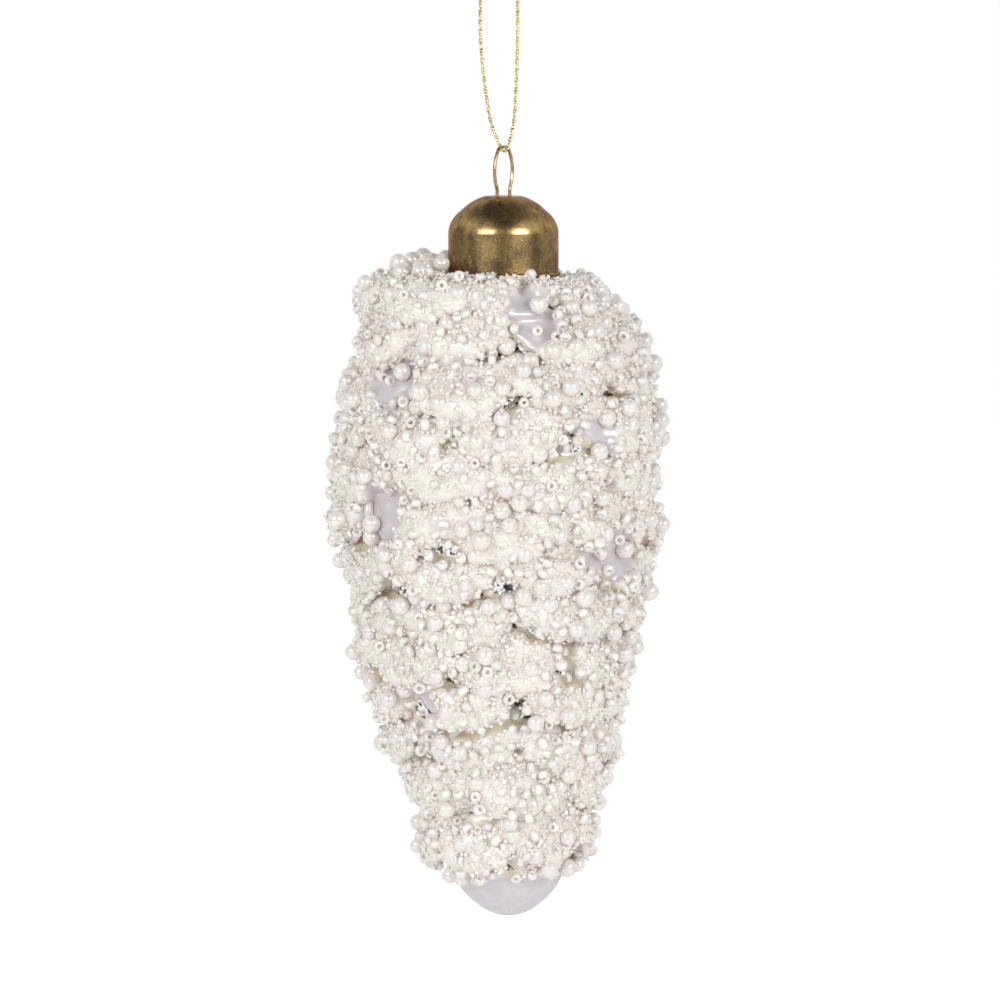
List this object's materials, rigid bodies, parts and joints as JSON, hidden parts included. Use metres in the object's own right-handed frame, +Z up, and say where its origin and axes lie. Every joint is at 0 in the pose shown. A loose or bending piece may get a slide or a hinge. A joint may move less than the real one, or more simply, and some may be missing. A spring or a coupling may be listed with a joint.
{
  "type": "icicle hanging ornament",
  "caption": "Mould-blown silvered glass ornament shaped like a hanging cone of scales, crusted with pearls and seed beads, with a brass cap, spring wire eye and a metallic thread loop.",
  "frame": {"origin": "inside top of the thread loop, where a hook bears", "axes": "+Z up along the hanging line, X along the eye's seat, Y through the eye"},
  "size_m": [0.058, 0.0592, 0.1706],
  "materials": {
    "silvered_glass": "frosted mould-blown glass, silvered inside",
    "aged_brass": "aged, mottled, satin",
    "copper_wire": "drawn wire, bright",
    "gold_thread": "twisted metallic yarn",
    "pearl": "pearlescent coat",
    "seed_glass": "opaque and pearl-lustre glass",
    "bugle_glass": "satin cut tube glass"
  },
  "bodies": {
    "thread": {"hanging_thread": "gold_thread", "thread_knot": "gold_thread"},
    "hanger": {"hanger_wire": "copper_wire"},
    "cap": {"cap": "aged_brass"},
    "glass": {"glass_body": "silvered_glass", "pearls_tier_1": "pearl", "pearls_tier_2": "pearl", "pearls_tier_3": "pearl", "pearls_tier_4": "pearl", "pearls_tier_5": "pearl", "pearls_tier_6": "pearl", "pearls_tier_7": "pearl", "seed_beads_tier_1": "seed_glass", "seed_beads_tier_2": "seed_glass", "seed_beads_tier_3": "seed_glass", "seed_beads_tier_4": "seed_glass", "seed_beads_tier_5": "seed_glass", "seed_beads_tier_6": "seed_glass", "seed_beads_tier_7": "seed_glass", "bugle_beads": "bugle_glass"}
  },
  "joints": [
    {"name": "ornament_swing", "type": "hinge", "parent": "thread", "child": "hanger", "pos_m": [0, 0, -0.0303], "axis": [1, 0, 0], "range_deg": [-75, 75]},
    {"name": "cap_slide", "type": "slide", "parent": "hanger", "child": "cap", "axis": [0, 0, 1], "range_m": [0, 0.0012]},
    {"name": "glass_pull_off", "type": "slide", "parent": "hanger", "child": "glass", "axis": [0, 0, -1], "range_m": [0, 0.024]}
  ]
}
